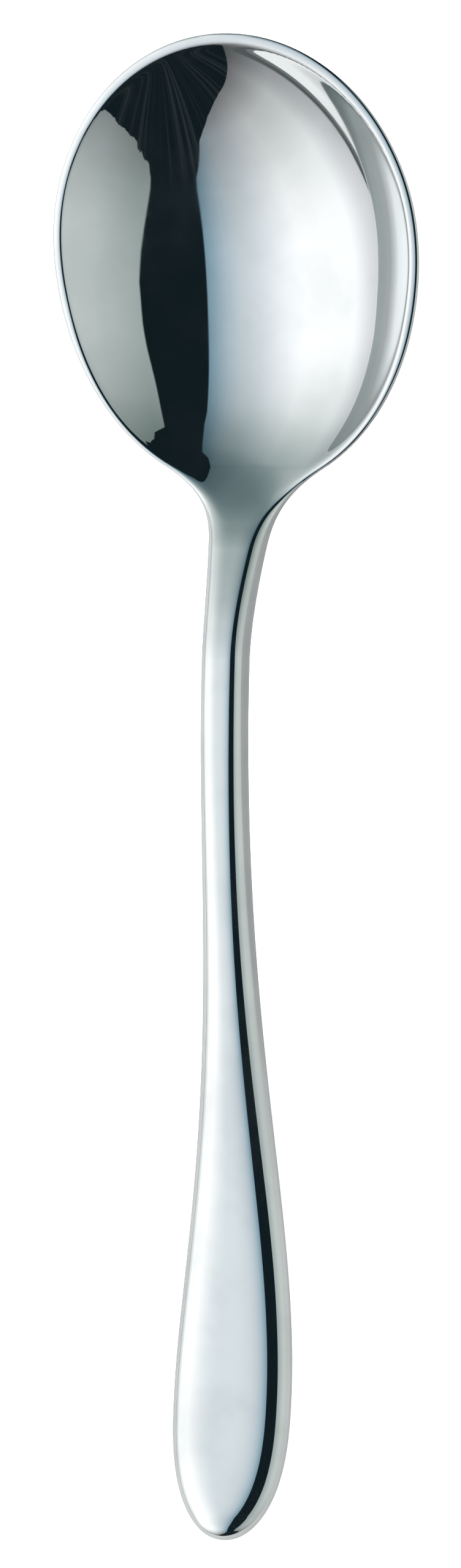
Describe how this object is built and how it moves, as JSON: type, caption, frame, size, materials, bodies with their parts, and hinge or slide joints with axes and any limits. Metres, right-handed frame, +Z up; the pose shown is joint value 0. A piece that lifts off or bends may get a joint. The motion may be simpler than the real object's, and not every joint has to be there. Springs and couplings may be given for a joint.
{
  "type": "soup spoon",
  "caption": "Polished stainless steel soup spoon: deep oval bowl, drawn-in neck and a long pillowed handle that flares to a rounded point.",
  "frame": {"origin": "on the table plane, below the middle of the spoon's box, with the spoon lying bowl up", "axes": "+Y from the handle's point towards the bowl's tip, +Z up out of the bowl, +X across, to the right when looking along +Y"},
  "size_m": [0.0458, 0.178, 0.0174],
  "materials": {
    "polished_bowl": "mirror polished stainless steel with fine wiping lines",
    "polished_handle": "mirror polished stainless steel with fine lines along the handle"
  },
  "bodies": {
    "root": {"bowl": "polished_bowl", "neck": "polished_handle", "handle": "polished_handle"}
  },
  "joints": []
}
